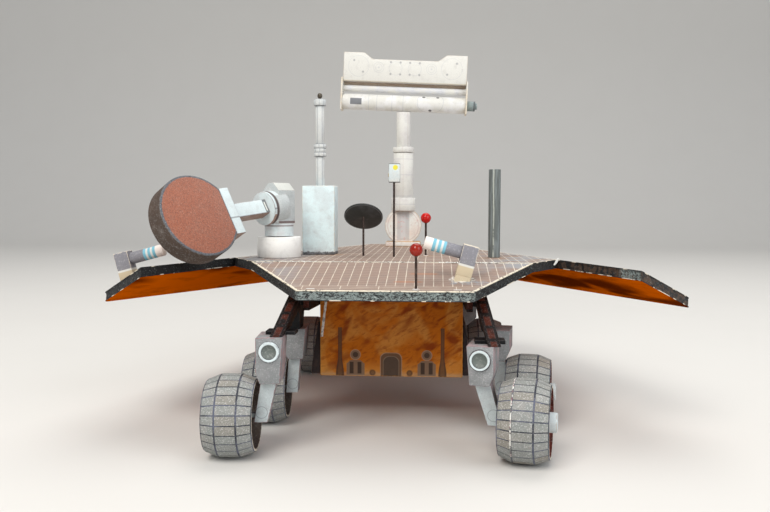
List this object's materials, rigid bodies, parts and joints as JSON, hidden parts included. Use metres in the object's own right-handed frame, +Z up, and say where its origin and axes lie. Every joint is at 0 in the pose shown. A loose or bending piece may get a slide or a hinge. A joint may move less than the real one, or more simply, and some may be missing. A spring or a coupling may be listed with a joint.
{
  "type": "planetary rover scale model",
  "caption": "Card and foam-board scale model of a planetary rover: solar deck with drooping panels, barrel wheels on rocker arms, camera mast and tilting dish antenna.",
  "frame": {"origin": "on the floor below the middle of the bounding box", "axes": "+Z up, +Y the way it drives (towards the mast), +X to the right seen from the rear"},
  "size_m": [0.206, 0.1852, 0.1534],
  "materials": {
    "arm_card": "printed card, black with dark red-brown faces",
    "black_card": "matt black card",
    "dish_card": "felt-like terracotta card with a dark rim",
    "foam_board": "printed card on foam board with blackened edges",
    "foil_card": "printed card in crumpled-foil gold",
    "grey_card": "speckled grey card",
    "grey_tube": "mottled grey card tube",
    "leg_card": "printed card, pale grey",
    "pale_card": "pale grey card",
    "red_pin": "glossy red bead on a dark pin",
    "striped_card": "card rolled into a tube, grey, cyan and white",
    "wheel_card": "printed card, light grey with thin dark lines",
    "white_card": "white card"
  },
  "bodies": {
    "chassis": {"body_box": "foil_card", "deck": "foam_board", "deck_ball_pin": "red_pin", "disc_on_pin": "black_card", "dish_base": "white_card", "front_left_leg": "leg_card", "front_right_leg": "leg_card", "left_bogie": "arm_card", "left_rocker": "arm_card", "left_side_panel": "arm_card", "left_wing": "foam_board", "low_gain_box": "white_card", "low_gain_mast": "white_card", "mast_foot": "white_card", "mast_lower_tube": "white_card", "middle_left_leg": "leg_card", "middle_right_leg": "leg_card", "panel_ball_pin": "red_pin", "panel_post": "grey_card", "panel_post_barrel": "striped_card", "rear_left_leg": "leg_card", "rear_panel": "foam_board", "rear_right_leg": "leg_card", "right_bogie": "arm_card", "right_rocker": "arm_card", "right_side_panel": "arm_card", "right_wing": "foam_board", "sensor_on_pin": "pale_card", "whip_antenna": "grey_tube", "wing_post": "grey_card", "wing_post_barrel": "striped_card"},
    "rear_left_wheel": {"rear_left_wheel": "wheel_card"},
    "rear_right_wheel": {"rear_right_wheel": "wheel_card"},
    "middle_left_wheel": {"middle_left_wheel": "wheel_card"},
    "middle_right_wheel": {"middle_right_wheel": "wheel_card"},
    "front_left_wheel": {"front_left_wheel": "wheel_card"},
    "front_right_wheel": {"front_right_wheel": "wheel_card"},
    "mast_head_pan": {"mast_upper_tube": "white_card"},
    "camera_head": {"head_tube": "white_card", "camera_bar": "white_card", "head_end_plates": "white_card", "head_cross_bar": "white_card", "head_motor": "white_card"},
    "dish_turret": {"dish_turret": "white_card"},
    "dish": {"dish_arm": "white_card", "dish_drum": "dish_card"}
  },
  "joints": [
    {"name": "rear_left_wheel_roll", "type": "hinge", "parent": "chassis", "child": "rear_left_wheel", "pos_m": [-0.048, -0.07915, 0.013], "axis": [-0.9976, -0.0698, 0], "continuous": true},
    {"name": "rear_right_wheel_roll", "type": "hinge", "parent": "chassis", "child": "rear_right_wheel", "pos_m": [0.044, -0.07915, 0.013], "axis": [0.9781, -0.2079, 0], "continuous": true},
    {"name": "middle_left_wheel_roll", "type": "hinge", "parent": "chassis", "child": "middle_left_wheel", "pos_m": [-0.0453, -0.04015, 0.013], "axis": [-0.9986, -0.0523, 0], "continuous": true},
    {"name": "middle_right_wheel_roll", "type": "hinge", "parent": "chassis", "child": "middle_right_wheel", "pos_m": [0.0495, -0.04015, 0.013], "axis": [0.9848, -0.1736, 0], "continuous": true},
    {"name": "front_left_wheel_roll", "type": "hinge", "parent": "chassis", "child": "front_left_wheel", "pos_m": [-0.043, 0.04585, 0.013], "axis": [-1, 0, 0], "continuous": true},
    {"name": "front_right_wheel_roll", "type": "hinge", "parent": "chassis", "child": "front_right_wheel", "pos_m": [0.039, 0.04585, 0.013], "axis": [1, 0, 0], "continuous": true},
    {"name": "mast_pan", "type": "hinge", "parent": "chassis", "child": "mast_head_pan", "pos_m": [0, 0.06585, 0.1045], "axis": [0, 0, 1], "range_deg": [-170, 170]},
    {"name": "head_tilt", "type": "hinge", "parent": "mast_head_pan", "child": "camera_head", "pos_m": [0, 0.06585, 0.1286], "axis": [0.999, 0, -0.0454], "range_deg": [-90, 90]},
    {"name": "dish_turn", "type": "hinge", "parent": "chassis", "child": "dish_turret", "pos_m": [-0.0446, -0.02015, 0.067], "axis": [0, 0, 1], "range_deg": [0, 45]},
    {"name": "dish_roll", "type": "hinge", "parent": "dish_turret", "child": "dish", "pos_m": [-0.0446, -0.02015, 0.0787], "axis": [0.5571, 0.8229, 0.1115], "range_deg": [-60, 30]}
  ]
}
